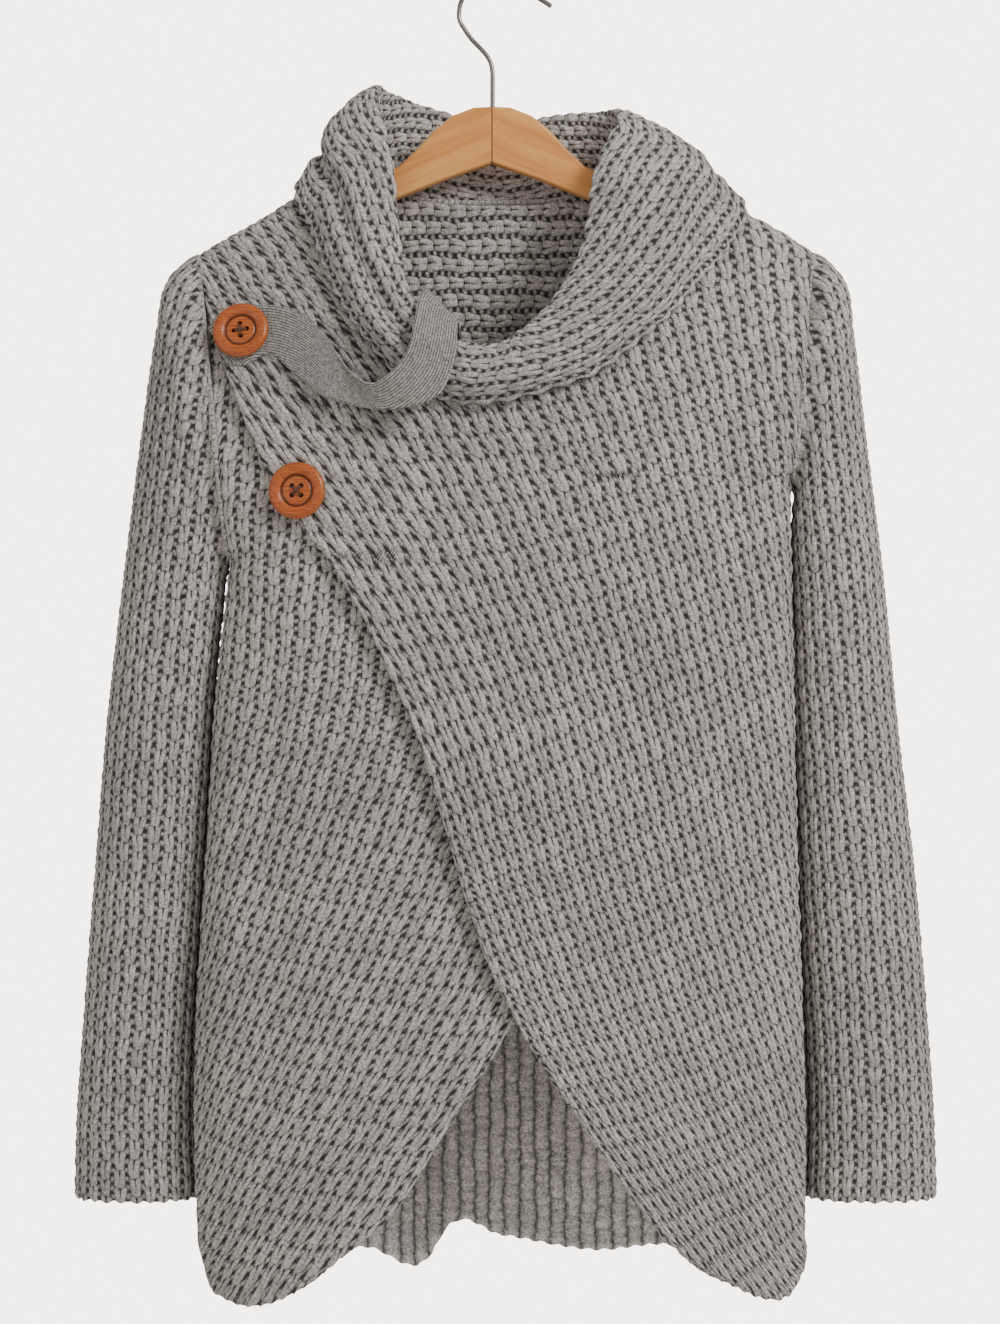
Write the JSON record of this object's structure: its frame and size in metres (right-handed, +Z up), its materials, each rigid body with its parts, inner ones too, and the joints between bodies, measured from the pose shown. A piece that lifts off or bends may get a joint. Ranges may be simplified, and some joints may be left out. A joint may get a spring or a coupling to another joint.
{
  "type": "cowl neck wrap sweater on a wooden hanger",
  "caption": "Grey ribbed cowl neck sweater with a wrapped front, two wooden buttons and a strap, on a wooden hanger.",
  "frame": {"origin": "inside top of the hanger's hook, where a rail carries it", "axes": "+Z up, +X to the viewer's right, front faces -Y"},
  "size_m": [0.5629, 0.1241, 0.8526],
  "materials": {
    "knit": "matt",
    "jersey": "matt",
    "button_wood": "satin",
    "beech": "satin",
    "steel": "satin"
  },
  "bodies": {
    "root": {"back_panel": "knit", "front_over": "knit", "front_under": "knit", "sleeve_left": "knit", "sleeve_right": "knit", "collar": "knit", "strap": "jersey", "button_upper": "button_wood", "button_lower": "button_wood", "hanger": "beech", "hook": "steel"}
  },
  "joints": []
}
